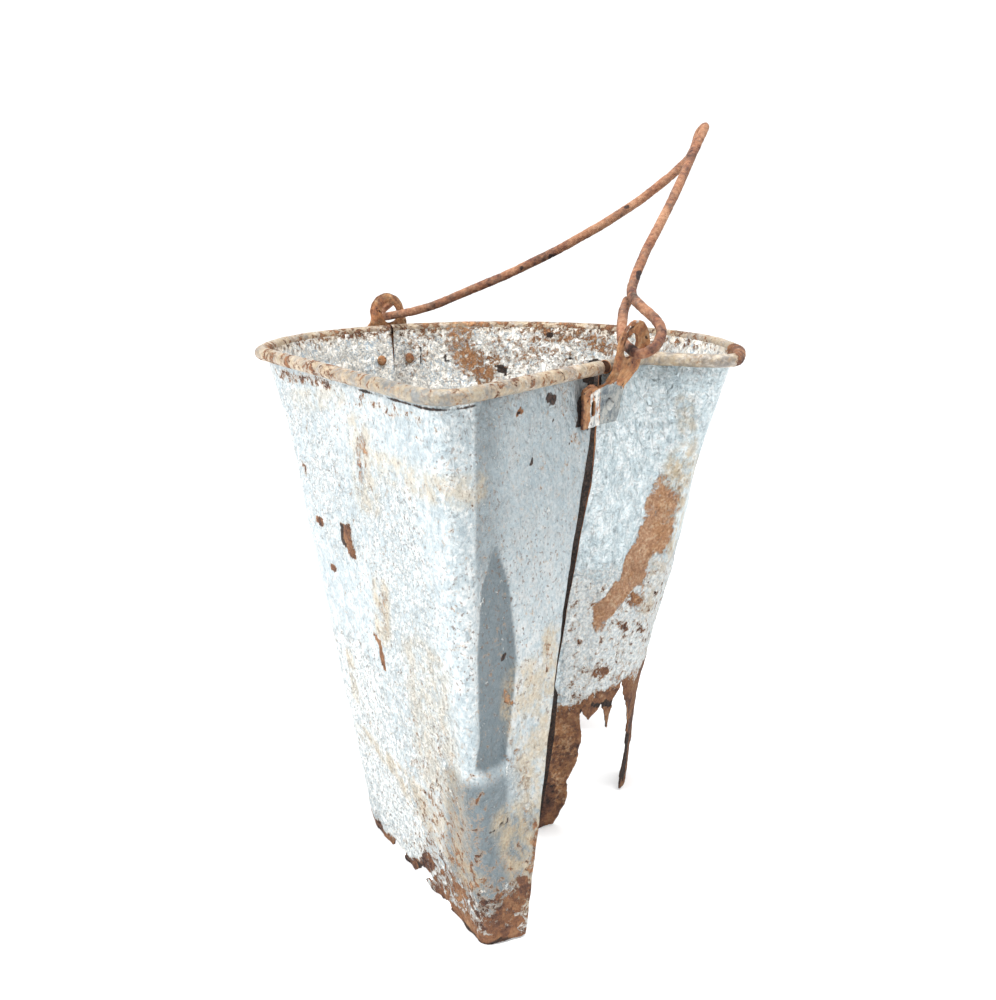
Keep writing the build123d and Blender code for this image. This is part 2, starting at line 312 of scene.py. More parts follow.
def wall_grid(outline, levels, heights):
    """The wall's points for each height, smooth from level to level."""
    levels = levels[::-1]
    z = np.array([level[0] * MM for level in levels])
    lines = np.array([outline(level) for level in levels])
    slopes = np.gradient(lines, z, axis=0)
    grid = np.zeros((len(heights), lines.shape[1], 3))
    for row, h in enumerate(heights):
        k = int(np.clip(np.searchsorted(z, h) - 1, 0, len(z) - 2))
        gap = z[k + 1] - z[k]
        t = (h - z[k]) / gap
        a, b = lines[k], lines[k + 1]
        # halfway between a straight run and a full curve, as sheet that was bent once would be
        curve = (
            (2 * t**3 - 3 * t**2 + 1) * a
            + (t**3 - 2 * t**2 + t) * gap * slopes[k]
            + (-2 * t**3 + 3 * t**2) * b
            + (t**3 - t**2) * gap * slopes[k + 1]
        )
        grid[row, :, :2] = 0.5 * curve + 0.5 * (a * (1 - t) + b * t)
        grid[row, :, 2] = h
    return grid


def outward(grid):
    """The level direction that points away from the wall at each point."""
    along = np.gradient(grid, axis=1)
    n = np.stack([along[..., 1], -along[..., 0], np.zeros(along.shape[:2])], -1)
    return n / np.linalg.norm(n, axis=-1, keepdims=True)


# The bead: from the wall's top, over and out round its wire, and back to just short of the wall.
BEAD_STEPS = 13
BEAD_MID = 3.5 * MM
BEAD_OUT = 3.25 * MM


def add_bead(grid, seed):
    top, out = grid[-1], outward(grid)[-1]
    wobble = noise(top, 0.030, seed)
    small = noise(top, 0.009, seed + 1)
    rows = []
    for k in range(1, BEAD_STEPS + 1):
        share = k / BEAD_STEPS
        end = math.radians(-128) + np.radians(12) * small
        angle = math.pi + (end - math.pi) * share
        radius = BEAD_MID * (1 + 0.03 * wobble + 0.04 * small * share)
        sideways = BEAD_OUT + radius * np.cos(angle)
        up = radius * np.sin(angle)
        row = top + out * sideways[:, None]
        row[:, 2] = BEAD_Z + up + 0.25 * MM * wobble * share
        rows.append(row)
    return np.concatenate([grid, np.array(rows)])


def in_mm(points):
    """The points' x, y and z, each in millimetres."""
    return [points[:, axis] / MM for axis in range(3)]


def warped(points):
    """The points moved about a little, so that what is painted by them has ragged outlines."""
    x = noise(points, 0.007, 601) * 1.6 + noise(points, 0.0026, 602) * 0.9
    z = noise(points, 0.007, 603) * 1.6 + noise(points, 0.0026, 604) * 0.9
    return points + np.stack([x, 0 * x, z], -1) * MM


def strokes(points, items):
    """Strongest of some soft strokes seen from the front.

    Each is x, z to x, z and a radius in millimetres, then a strength.
    """
    best = np.zeros(points.shape[:-1])
    x, z = points[..., 0] / MM, points[..., 2] / MM
    for ax, az, bx, bz, radius, strength in items:
        dx, dz = bx - ax, bz - az
        t = np.clip(((x - ax) * dx + (z - az) * dz) / max(dx * dx + dz * dz, 1e-9), 0, 1)
        d = np.hypot(x - ax - t * dx, z - az - t * dz) / radius
        best = np.maximum(best, strength * (1 - smooth(0.5, 1.0, d)))
    return best


NEAR_PIVOT = np.array([*plan((0.480, -0.517)), HEIGHT + 5.7 * MM])
FAR_PIVOT = np.array([*plan((-0.545, 0.862)), HEIGHT + 5.5 * MM])


def calm(points):
    """0 near the ears, where the sheet is held, rising to 1 away from them."""
    d = np.minimum(
        np.linalg.norm(points - NEAR_PIVOT + np.array([0, 0, 0.02]), axis=-1),
        np.linalg.norm(points - FAR_PIVOT + np.array([0, 0, 0.02]), axis=-1),
    )
    return smooth(0.030, 0.055, d)


def heights(bottom_step, bottom_top, step):
    low = np.arange(0, bottom_top, bottom_step)
    return np.r_[low, np.linspace(bottom_top, BEAD_Z, int(round((BEAD_Z - bottom_top) / step)))]


# ---- materials ----------------------------------------------------------------------------
class Nodes:
    """Short names for the shader nodes that the materials are made from."""

    def __init__(self, name):
        self.material = bpy.data.materials.new(name)
        self.material.use_nodes = True
        self.tree = self.material.node_tree
        self.tree.nodes.clear()
        self.coords = self.add("ShaderNodeTexCoord").outputs["Object"]

    def add(self, kind, **settings):
        node = self.tree.nodes.new(kind)
        for key, value in settings.items():
            setattr(node, key, value)
        return node

    def plug(self, socket, value):
        if hasattr(value, "is_linked") or isinstance(value, bpy.types.NodeSocket):
            self.tree.links.new(value, socket)
        elif isinstance(value, tuple) and len(value) == 3 and socket.type == "RGBA":
            socket.default_value = (*value, 1)
        else:
            socket.default_value = value

    def noise(self, size, detail=4, roughness=0.55, stretch=None, distortion=0.0, seed=0.0):
        """Noise whose lumps are about this many metres across."""
        place = self.add("ShaderNodeMapping")
        self.plug(place.inputs["Vector"], self.coords)
        place.inputs["Scale"].default_value = stretch or (1, 1, 1)
        place.inputs["Location"].default_value = (seed, seed * 0.7, seed * 1.3)
        node = self.add("ShaderNodeTexNoise")
        self.plug(node.inputs["Vector"], place.outputs[0])
        node.inputs["Scale"].default_value = 0.55 / size
        node.inputs["Detail"].default_value = detail
        node.inputs["Roughness"].default_value = roughness
        node.inputs["Distortion"].default_value = distortion
        return node.outputs["Fac"]

    def cells(self, size, feature="F1"):
        node = self.add("ShaderNodeTexVoronoi", feature=feature)
        self.plug(node.inputs["Vector"], self.coords)
        node.inputs["Scale"].default_value = 1 / size
        return node.outputs["Distance"]

    def paint(self, name):
        return self.add("ShaderNodeAttribute", attribute_name=name).outputs["Fac"]

    def math(self, operation, a, b=0.0, clamp=False):
        node = self.add("ShaderNodeMath", operation=operation, use_clamp=clamp)
        self.plug(node.inputs[0], a)
        self.plug(node.inputs[1], b)
        return node.outputs[0]

    def ramp(self, value, low, high, to_low=0.0, to_high=1.0):
        node = self.add("ShaderNodeMapRange", interpolation_type="SMOOTHSTEP")
        for key, v in zip(("Value", "From Min", "From Max", "To Min", "To Max"),
            (value, low, high, to_low, to_high)):
            self.plug(node.inputs[key], v)
        return node.outputs["Result"]

    def colours(self, value, *stops):
        node = self.add("ShaderNodeValToRGB")
        self.plug(node.inputs[0], value)
        band = node.color_ramp
        while len(band.elements) < len(stops):
            band.elements.new(0.5)
        for element, (at, colour) in zip(band.elements, stops):
            element.position = at
            element.color = (*colour, 1)
        return node.outputs["Color"]

    def mix(self, share, a, b, blend="MIX"):
        node = self.add("ShaderNodeMix", data_type="RGBA", blend_type=blend)
        self.plug(node.inputs["Factor"], share)
        self.plug(node.inputs[6], a)
        self.plug(node.inputs[7], b)
        return node.outputs[2]

    def bump(self, height, depth, before=None):
        node = self.add("ShaderNodeBump")
        node.inputs["Strength"].default_value = 1.0
        node.inputs["Distance"].default_value = depth
        self.plug(node.inputs["Height"], height)
        if before is not None:
            self.plug(node.inputs["Normal"], before)
        return node.outputs["Normal"]

    def finish(self, colour, roughness, normal, metallic=0.0, specular=0.4):
        shader = self.add("ShaderNodeBsdfPrincipled")
        self.plug(shader.inputs["Base Color"], colour)
        self.plug(shader.inputs["Roughness"], roughness)
        self.plug(shader.inputs["Normal"], normal)
        self.plug(shader.inputs["Metallic"], metallic)
        self.plug(shader.inputs["Specular IOR Level"], specular)
        self.tree.links.new(shader.outputs[0], self.add("ShaderNodeOutputMaterial").inputs[0])
        return self.material


# Linear colours
ZINC_PALE = (0.42, 0.475, 0.495)
ZINC_BLUE = (0.30, 0.360, 0.390)
ZINC_DARK_AND_SHADE = (0.088, 0.118, 0.134)
ZINC_WHITE = (0.62, 0.635, 0.63)
RUST_ORANGE = (0.26, 0.115, 0.052)
RUST_LIGHT = (0.42, 0.23, 0.115)
RUST_BROWN = (0.120, 0.052, 0.032)
RUST_BLACK = (0.022, 0.013, 0.011)
STAIN_TAN = (0.50, 0.40, 0.25)


def rust_colour(n, seed=0.0):
    """Orange, brown and near-black rust in lumps and grains."""
    big = n.noise(0.012, 5, 0.65, seed=seed)
    fine = n.noise(0.0016, 3, 0.7, seed=seed + 3)
    both = n.math("ADD", n.math("MULTIPLY", big, 0.6), n.math("MULTIPLY", fine, 0.4))
    return n.colours(both, (0.36, RUST_BLACK), (0.44, RUST_BROWN), (0.53, RUST_ORANGE), (0.66, RUST_LIGHT))


def zinc(name, pale=ZINC_PALE, blue=ZINC_BLUE, white_zinc=ZINC_WHITE, specks=0.5, wrinkle=1.0, fleck=1.0,
        contrast=1.0):
    """Old galvanising. Painted masks rust, orange, white, stain and dark say how far it has gone; white also
    holds painted light, dark painted shade, and shade is painted shade.
    """
    n = Nodes(name)
    cloud = n.noise(0.040, 4, 0.6, seed=1)
    mottle = n.noise(0.0042 * fleck, 5, 0.72, distortion=0.5, seed=2)
    grain = n.noise(0.0013 * fleck, 3, 0.6, seed=4)
    creases = n.noise(0.0026, 3, 0.62, stretch=(1.0, 1.0, 0.55), distortion=0.9, seed=6)
    tone = n.math("ADD", n.math("MULTIPLY", cloud, 0.18), n.math("MULTIPLY", mottle, 0.52))
    tone = n.math("ADD", tone, n.math("MULTIPLY", grain, 0.30))
    spread = 0.085 / contrast
    colour = n.colours(tone, (0.50 - spread, blue), (0.50, pale), (0.50 + spread, white_zinc))
    # painted shade: darker and bluer where the shade mask says so, and at random with the mottle
    shade = n.math("ADD", n.paint("shade"), n.math("MULTIPLY", n.math("SUBTRACT", mottle, 0.5), 0.9))
    colour = n.mix(n.ramp(shade, 0.12, 0.95, 0.0, 0.9), colour, ZINC_DARK_AND_SHADE)
    # white corrosion, and painted light where the white mask holds it
    white = n.math("ADD", n.paint("white"),
        n.math("MULTIPLY", n.math("SUBTRACT", n.noise(0.0030 * fleck, 4, 0.75, seed=7), 0.5), 1.9))
    white = n.ramp(white, 0.42, 0.58)
    colour = n.mix(n.math("MULTIPLY", white, 0.9), colour,
        n.colours(grain, (0.35, (0.50, 0.56, 0.59)), (0.6, (0.84, 0.85, 0.82))))
    # tan water stains
    stain = n.math("MULTIPLY", n.paint("stain"), n.ramp(n.noise(0.006, 5, 0.75, seed=11), 0.36, 0.60))
    colour = n.mix(n.math("MULTIPLY", stain, 0.8), colour,
        n.colours(grain, (0.3, (0.40, 0.27, 0.13)), (0.6, STAIN_TAN)))
    # fine dark and rusty specks
    speck = n.ramp(n.noise(0.0011, 2, 0.5, seed=13), 0.60, 0.67)
    speck = n.math("MULTIPLY", speck, n.ramp(cloud, 0.40, 0.62, 0.35, 1.0))
    colour = n.mix(n.math("MULTIPLY", speck, specks), colour, (0.13, 0.085, 0.06))
    # rust that has come through
    break_up = n.math("SUBTRACT", n.noise(0.0038 * fleck, 5, 0.75, distortion=0.4, seed=17), 0.5)
    broken = n.math("MULTIPLY", break_up, 1.8)
    rust = n.math("ADD", n.paint("rust"), broken)
    halo = n.ramp(rust, 0.28, 0.50)
    colour = n.mix(n.math("MULTIPLY", halo, 0.55), colour, (0.44, 0.29, 0.17))
    solid_rust = n.ramp(rust, 0.46, 0.54)
    colour = n.mix(solid_rust, colour, rust_colour(n, 5))
    # bright, dusty orange rust
    orange = n.ramp(n.math("ADD", n.paint("orange"), n.math("MULTIPLY", break_up, 1.2)), 0.38, 0.62)
    colour = n.mix(n.math("MULTIPLY", orange, 0.92), colour,
        n.colours(n.math("ADD", n.math("MULTIPLY", grain, 0.5), n.math("MULTIPLY", mottle, 0.5)),
        (0.38, (0.33, 0.140, 0.055)), (0.50, (0.50, 0.245, 0.110)), (0.60, (0.64, 0.42, 0.25))))
    # dark, almost black places: black rust, and painted shade in gaps and hollows
    dark = n.math("ADD", n.paint("dark"), n.math("MULTIPLY", break_up, 0.8))
    dark = n.ramp(dark, 0.40, 0.60)
    colour = n.mix(n.math("MULTIPLY", dark, 0.97), colour,
        n.colours(grain, (0.42, (0.008, 0.006, 0.005)), (0.62, (0.055, 0.025, 0.015))))
    normal = n.bump(n.cells(0.0046, "SMOOTH_F1"), 0.0010 * wrinkle)
    normal = n.bump(mottle, 0.0013 * wrinkle, normal)
    normal = n.bump(creases, 0.0024 * wrinkle, normal)
    scale = n.math("ADD", n.math("MULTIPLY", white, 0.6), n.math("MAXIMUM", solid_rust, orange))
    crust = n.math("MULTIPLY", n.noise(0.0022, 5, 0.78, seed=23), n.math("ADD", scale, 0.20))
    normal = n.bump(crust, 0.0028, normal)
    shine = n.math("SUBTRACT", 1.0, n.math("MAXIMUM", scale, dark), True)
    roughness = n.ramp(shine, 0.0, 1.0, 0.92, n.ramp(mottle, 0.35, 0.65, 0.32, 0.52))
    return n.finish(colour, roughness, normal, metallic=n.math("MULTIPLY", shine, 0.25), specular=0.42)


def rusty(name, tint=(1.0, 1.0, 1.0), golden=0.0, zinc_left=0.0, lump_depth=0.0014):
    """Rusted steel, with golden dust or the last of its zinc."""
    n = Nodes(name)
    colour = rust_colour(n, 8)
    grain = n.noise(0.0020, 4, 0.7, seed=31)
    lumps = n.noise(0.0065, 4, 0.6, seed=33)
    if golden:
        dust = n.math("ADD", n.ramp(lumps, 0.36, 0.58),
            n.math("MULTIPLY", n.math("SUBTRACT", grain, 0.5), 1.1), True)
        gold = n.colours(grain, (0.34, (0.20, 0.105, 0.045)), (0.50, (0.40, 0.26, 0.125)),
            (0.64, (0.56, 0.45, 0.28)))
        colour = n.mix(n.math("MULTIPLY", dust, golden), colour, gold)
    if zinc_left:
        patch = n.math("SUBTRACT", n.noise(0.0034, 4, 0.7, seed=37), 0.5)
        left = n.ramp(n.math("ADD", n.paint("zinc"), n.math("MULTIPLY", patch, 1.5)), 0.44, 0.56)
        blue = n.colours(n.math("ADD", n.math("MULTIPLY", grain, 0.6), n.math("MULTIPLY", lumps, 0.4)),
            (0.42, (0.10, 0.140, 0.170)), (0.50, (0.20, 0.250, 0.270)), (0.58, (0.33, 0.37, 0.37)))
        white = n.colours(grain, (0.40, (0.36, 0.42, 0.45)), (0.54, (0.72, 0.75, 0.74)))
        colour = n.mix(n.math("MULTIPLY", left, zinc_left), colour, n.mix(n.paint("white"), blue, white))
        pit = n.ramp(n.noise(0.0017, 2, 0.5, seed=41), 0.64, 0.70)
        colour = n.mix(n.math("MULTIPLY", pit, 0.9), colour, RUST_BLACK)
    # dark: black rust, and painted shade where the ears' masks put it, in grooves and beside gaps
    dark = n.math("ADD", n.paint("dark"), n.math("MULTIPLY", n.math("SUBTRACT", lumps, 0.5), 0.5))
    colour = n.mix(n.ramp(dark, 0.35, 0.65, 0.0, 0.93), colour, RUST_BLACK)
    colour = n.mix(1.0, colour, tint, "MULTIPLY")
    normal = n.bump(lumps, lump_depth)
    normal = n.bump(grain, 0.0011, normal)
    return n.finish(colour, n.ramp(grain, 0.3, 0.7, 0.72, 0.95), normal, specular=0.25)


front_zinc = zinc("front_zinc", specks=0.75, fleck=0.75, wrinkle=1.1)
# The rear half's zinc is paler than the front half's: partly its own light-blue tone, partly painted light
# for the brighter light on that side.
rear_zinc = zinc("rear_zinc", pale=(0.56, 0.65, 0.68), blue=(0.41, 0.50, 0.54),
    white_zinc=(0.78, 0.82, 0.83), specks=0.3, wrinkle=2.4, fleck=0.75)
inner_zinc = zinc("inner_zinc", pale=(0.88, 0.86, 0.80), blue=(0.40, 0.50, 0.58),
    white_zinc=(0.98, 0.97, 0.93), specks=0.7, fleck=0.55, contrast=1.3)
bead_zinc = zinc("bead_zinc", pale=(0.235, 0.212, 0.187), blue=(0.150, 0.137, 0.123),
    white_zinc=(0.44, 0.40, 0.35), specks=0.8, wrinkle=0.45)
torn_edge = rusty("torn_edge")
ear_rust = rusty("ear_rust", tint=(1.06, 0.98, 0.93), golden=0.34, zinc_left=0.95)
bail_rust = rusty("bail_rust", tint=(0.88, 0.86, 1.02), golden=0.20, lump_depth=0.0024)
# Near-black: painted shade over the rust, because the object shows a dark hollow and no wire at its bead's
# open end.
wire_rust_and_hollow_shade = rusty("wire_rust_and_hollow_shade", tint=(0.16, 0.13, 0.12))


# ---- half shells --------------------------------------------------------------------------
FRONT_BITE = [(-0.62, -9), (-0.62, 16), (-0.54, 10), (-0.50, 21), (-0.44, 13), (-0.40, 15), (-0.38, -9)]
ARCH = [
    (0.235, -9), (0.225, 2), (0.278, 15), (0.290, 22), (0.278, 31), (0.318, 44), (0.337, 55), (0.330, 84),
    (0.365, 70), (0.385, 74), (0.425, 80), (0.455, 60), (0.480, 80), (0.519, 90), (0.548, 70), (0.566, 50),
    (0.565, 32), (0.540, 12), (0.535, -9),
]
BACK_BITE = [
    (0.020, -9), (0.025, 50), (0.050, 96), (0.130, 84), (0.210, 95), (0.280, 70), (0.340, 62), (0.390, 38),
    (0.420, 25), (0.425, -9),
]


def side_view(grid, axis, corners):
    """Distance into a polygon drawn in rim radii along an axis and millimetres up."""
    flat = np.stack([grid[..., axis], grid[..., 2]], -1)
    middle = RIM_MIDDLE[axis]
    return inside_distance(flat, [(middle + RIM_R * a, z * MM) for a, z in corners])


def dented(grid, seed):
    """The sheet with its dents: broad ones, hammer marks and fine roughness, square to the wall."""
    away = outward(grid)
    depth = 1.1 * MM * rough(grid, 0.060, seed, 2) + 0.45 * MM * rough(grid, 0.018, seed + 5, 2)
    depth += 0.16 * MM * noise(grid, 0.006, seed + 9)
    depth *= calm(grid) * (1 - 0.75 * smooth(0.270, 0.292, grid[..., 2]))
    return grid, away, depth


def half_shell(name, outline, levels, rows, seed, shape, keep, paint, inner_paint, outside, node):
    grid = wall_grid(outline, levels, rows)
    grid, away, depth = dented(grid, seed)
    grid = grid + away * (depth + shape(grid) - 0.5 * SHEET)[..., None]
    wall_rows = len(grid)
    grid = add_bead(grid, seed + 40)
    mask = keep(grid)
    steps, faces, cells = cut_grid(mask)
    points = on_steps(grid, steps)
    outer, inner = paint(points), inner_paint(points)
    on_bead = cells[:, 0] >= wall_rows - 1
    kinds = np.where(on_bead, 2, 0)
    inner_kinds = np.where(on_bead, 2, 1)
    thickness = SHEET * (1 + 0.22 * noise(points, 0.004, seed + 60))
    both, all_faces, all_kinds = thicken(points, faces, kinds, thickness, 3, inner_kinds)
    doubled = {key: np.r_[outer[key], inner[key]] for key in outer}
    materials = [outside, inner_zinc, bead_zinc, torn_edge]
    return new_piece(name, both, all_faces, materials, BUCKET, all_kinds, doubled, [node])


def edge_keep(grid, seed, amount=0.9):
    """Distance to the sheet's two upright edges, made ragged."""
    run = np.linalg.norm(np.diff(grid, axis=1), axis=2)
    run = np.concatenate([np.zeros((len(grid), 1)), np.cumsum(run, axis=1)], axis=1)
    to_edge = np.minimum(run, run[:, -1:] - run)
    return to_edge - amount * MM * (0.5 + 0.5 * rough(grid, 0.012, seed, 2))


FLUTE = [(-11, 198), (-13, 163), (-12, 121), (-14, 103), (3, 103), (6, 125), (9, 155), (5, 195), (-3, 222)]


def flute(points):
    """How far inside the pressed flute beside the front corner, 0 to 1."""
    flat = np.stack([points[..., 0], points[..., 2]], -1) / MM
    front = points[..., 1] < -0.110
    return np.where(front, smooth(-0.8, 2.2, inside_distance(flat, FLUTE)), 0)


def front_shape(grid):
    """How far the front half's dents stand out from its facets."""
    z = grid[..., 2]
    low = 1 - smooth(0.012, 0.045, z)
    depth = -1.7 * MM * flute(grid)
    depth += strokes(grid, [(-10, 92, -8, 74, 15, 1.3 * MM), (-58, 262, -40, 240, 16, -1.0 * MM),
        (24, 200, 28, 150, 14, -1.2 * MM)])
    depth += strokes(grid, [(-118, 262, -96, 276, 14, -1.6 * MM), (-80, 120, -60, 60, 18, 0.9 * MM),
        (12, 250, 34, 240, 10, 0.8 * MM)])
    depth += strokes(warped(grid), [(-15, 109, 10, 106, 2.4, -0.9 * MM), (-6, 70, 9, 71, 2.4, -1.1 * MM),
        (-90, 206, -86, 188, 4, 0.8 * MM)])
    depth += strokes(warped(grid), [(24, 284, 27, 284, 5.0, -1.6 * MM), (4, 100, 14, 66, 6, 0.8 * MM)])
    depth += low * MM * (0.9 * rough(grid, 0.008, 75) - 0.5)
    return depth * calm(grid)


def front_keep(grid):
    z = grid[..., 2]
    ragged = z - 0.8 * MM * (1 + rough(grid, 0.006, 71))
    bite = -side_view(grid, 0, FRONT_BITE) + 1.6 * MM * rough(grid, 0.006, 72)
    bite = np.where(grid[..., 1] > -0.002, bite, 1.0)
    notch = 1.6 * MM - 4.2 * MM * strokes(warped(grid),
        [(-47, 0, -43, 7, 4.5, 1.0), (-62, 0, -61, 3, 4, 1.0), (-30, 0, -29, 2, 3, 0.8)])
    return np.minimum.reduce([ragged, bite, notch, edge_keep(grid, 73)])


def shade_under_bead(points, low, high):
    """A thin line of painted shade where the sheet goes under its rolled bead, between two places along x."""
    x, y, z = in_mm(points)
    line = np.exp(-(((z - 290.3 - 0.5 * noise(points, 0.012, 78)) / 1.2) ** 2))
    return line * smooth(low, low + 6, x) * (1 - smooth(high - 6, high, x)) * (y < 10)


def bead_rust(points):
    """How rusty the rolled bead is, part by part."""
    x, y = points[:, 0] / MM, points[:, 1] / MM
    lumps = rough(points, 0.018, 79)
    level = 0.34 + 0.08 * lumps
    level = np.where((x < -84) & (y < 60), 0.40 + 0.10 * lumps, level)
    level = np.where((x > -84) & (x < 0) & (y < 0), 0.31 + 0.10 * lumps, level)
    level = np.where((x > 55) & (y < 20), 0.20 + 0.08 * lumps + 0.5 * smooth(132, 142, x), level)
    return np.where(y > 60, 0.44 + 0.10 * lumps, level)


def front_paint(points):
    x, _, z = in_mm(points)
    lumps = rough(points, 0.014, 76)
    w = warped(points)
    tip = smooth(-52, -30, x)
    rust = 0.80 * (1 - smooth(2, 12, z + 4 * lumps)) * (1 - tip)
    rust = np.maximum(rust, tip * np.interp(z + 5 * lumps, [3, 7, 18, 30, 46, 62],
        [0.90, 0.58, 0.48, 0.39, 0.28, 0.16]))
    rust = np.maximum(rust, 0.14 + 0.24 * (1 - smooth(30, 170, z)) * smooth(-70, -30, x)
        * (1 - smooth(-14, 0, x)))
    rust = np.maximum(rust, strokes(w, [
        (9, 282, 9, 281, 2.2, 0.85), (-88, 204, -86, 190, 5.0, 0.78), (-109, 199, -109, 198, 3.4, 0.8),
        (-101, 173, -101, 172, 3.2, 0.8),
        (20, 58, 19, 4, 3.4, 0.60), (27, 157, 26, 140, 2.2, 0.40), (3, 133, 4, 131, 2.4, 0.55),
        (-138, 284, -96, 288, 5, 0.44),
        (20, 258, 22, 250, 3, 0.34), (-40, 20, -46, 6, 6, 0.7), (40, 264, 44, 260, 3, 0.36),
        (-120, 232, -118, 226, 3, 0.5),
        (-26, 16, -20, 22, 6, 0.62), (0, 14, 12, 27, 9, 0.66), (-10, 26, -8, 20, 3, 0.55),
        (-6, 8, 6, 8, 7, 0.7), (-70, 146, -66, 128, 2.2, 0.7), (32, 286, 35, 280, 3, 0.30),
        (-78, 284, -40, 284, 5, 0.34),
    ]))
    orange = strokes(w, [
        (-74, 262, -76, 238, 5, 0.44), (-72, 236, -90, 226, 5, 0.36), (-64, 178, -66, 152, 4, 0.36),
        (5, 108, 14, 84, 7, 0.36), (12, 84, 16, 60, 6, 0.34),
        (26, 160, 26, 142, 3.0, 0.36), (3, 138, 4, 130, 2.6, 0.50), (19, 56, 18, 22, 4, 0.44),
        (-62, 250, -14, 248, 10, 0.20),
        (-36, 60, -22, 30, 12, 0.34),
    ])
    # white corrosion; the strongest stroke, low on the left facet, is also painted light where the key light
    # reaches less
    white = 0.20 + 0.25 * strokes(points,
        [(-60, 230, -40, 90, 26, 1.0), (-120, 270, -90, 200, 26, 0.8), (-90, 110, -60, 24, 32, 1.6)])
    island = tip * (1 - smooth(22, 52, z)) * smooth(4, 12, z + 5 * lumps)
    white = np.maximum(white, (0.46 + 0.14 * lumps) * island
        + strokes(w, [(-4, 72, 3, 74, 3.0, 0.42), (6, 98, 16, 70, 6, 0.40)]))
    stain = strokes(points, [
        (-76, 268, -72, 226, 11, 0.60), (-62, 252, -14, 250, 11, 0.62), (-66, 180, -66, 148, 7, 0.8),
        (-84, 66, -58, 64, 8, 0.8),
        (12, 140, 24, 60, 15, 0.75), (4, 70, 18, 20, 12, 0.75), (-50, 60, -20, 40, 14, 0.7),
        (-92, 120, -88, 90, 4, 0.7),
        (-120, 272, -90, 282, 9, 0.45), (4, 133, 4, 128, 6, 0.8), (27, 160, 26, 130, 7, 0.8),
        (-40, 150, -30, 60, 18, 0.5),
    ])
    # dark: rust pits and cracks, and painted shade: black at x 26, z 284 for a hole's shaded void, and at x
    # 44 to 56 for the gaps beside the near ear's left leaf and under the near bead's end
    dark = strokes(w, [
        (-16, 109, -4, 107, 1.3, 0.40), (-4, 69, 3, 70, 1.5, 0.62), (2, 158, 2, 158, 1.8, 0.9),
        (19, 171, 19, 171, 1.4, 0.9),
        (-91, 206, -90, 192, 1.6, 0.72), (26, 284.5, 26.5, 283.5, 4.6, 0.74), (9, 282, 9, 281, 1.3, 0.7),
        (-46, 8, -44, 2, 4, 0.7),
        (28, 272, 28, 271, 1.0, 0.8), (44, 279, 44, 268, 3.4, 1.0), (49, 276, 50, 266, 4.5, 1.0),
        (37, 259, 37, 258, 1.0, 0.7),
        (16, 255, 16, 254, 1.0, 0.8), (7, 262, 7, 262, 1.0, 0.7), (48, 292, 56, 288, 5, 0.8),
    ])
    dark = np.maximum(dark, 0.62 * (1 - smooth(0, 5, z + 3 * lumps)))
    # painted shade: the wall inside the bead's curl, and a dark line under the bead
    dark = np.maximum(dark, 1.1 * smooth(292.4, 293.4, z) + 0.8 * shade_under_bead(points, -78, -8))
    # the tone of the facets right of the crease, of the flute and of the low front is painted, not lit
    right = smooth(-15, -11.5, x + 1.5 * lumps * (z < 200))
    shade = right * (np.interp(z, [100, 150, 215], [0.27, 0.26, 0.43]) + 0.24 * (1 - smooth(-9, 8, x))
        * smooth(190, 216, z))
    low = smooth(-35, -24, x + 3 * lumps) * (1 - smooth(92, 104, z)) * smooth(6, 22, z)
    shade = np.maximum(shade, 0.86 * low
        * (1 - 0.55 * smooth(0, 6, x) * smooth(60, 78, z) - 0.2 * smooth(8, 16, x)))
    shade = np.maximum(shade, flute(points)) + strokes(points,
        [(-6, 110, -4, 104, 8, 0.3), (-28, 96, -24, 40, 8, 0.16)])
    return {"rust": rust, "orange": orange, "white": white, "stain": stain, "dark": dark,
        "shade": np.minimum(shade, 1.0)}


def inner_masks(points, seed):
    """The bucket's inside, speckled above and black further down as painted shade over dark rust, and its
    bead's outside.
    """
    x, y, z = in_mm(points)
    lumps = rough(points, 0.020, seed)
    fine = noise(points, 0.006, seed + 3)
    on_bead = smooth(291.5, 293.5, z)
    back = smooth(60, 110, y) * smooth(-120, -70, x)
    rust = 0.18 + 0.07 * back + 0.10 * lumps + 0.14 * smooth(286, 292, z + fine)
    rust = rust * (1 - on_bead) + bead_rust(points) * on_bead
    # painted shade: the inside goes black further down, where it is unlit, over dark rust
    dark = 1.0 * (1 - smooth(192, 236, z + 8 * lumps))
    orange = (0.27 + 0.09 * back + 0.14 * lumps) * (1 - on_bead) + on_bead * (0.28 + 0.10 * lumps)
    white = (0.40 + 0.14 * fine) * (1 - on_bead) + on_bead * (0.14 + 0.15 * fine)
    # shade is painted shade on the front of the bead
    return {"rust": rust, "orange": orange, "white": white, "stain": 0.3 + 0.35 * on_bead, "dark": dark,
        "shade": 0.05 + 0.52 * on_bead * (y < 0) * smooth(-92, -70, x) * (1 - smooth(4, 20, x))}


def front_inner(points):
    return inner_masks(points, 77)


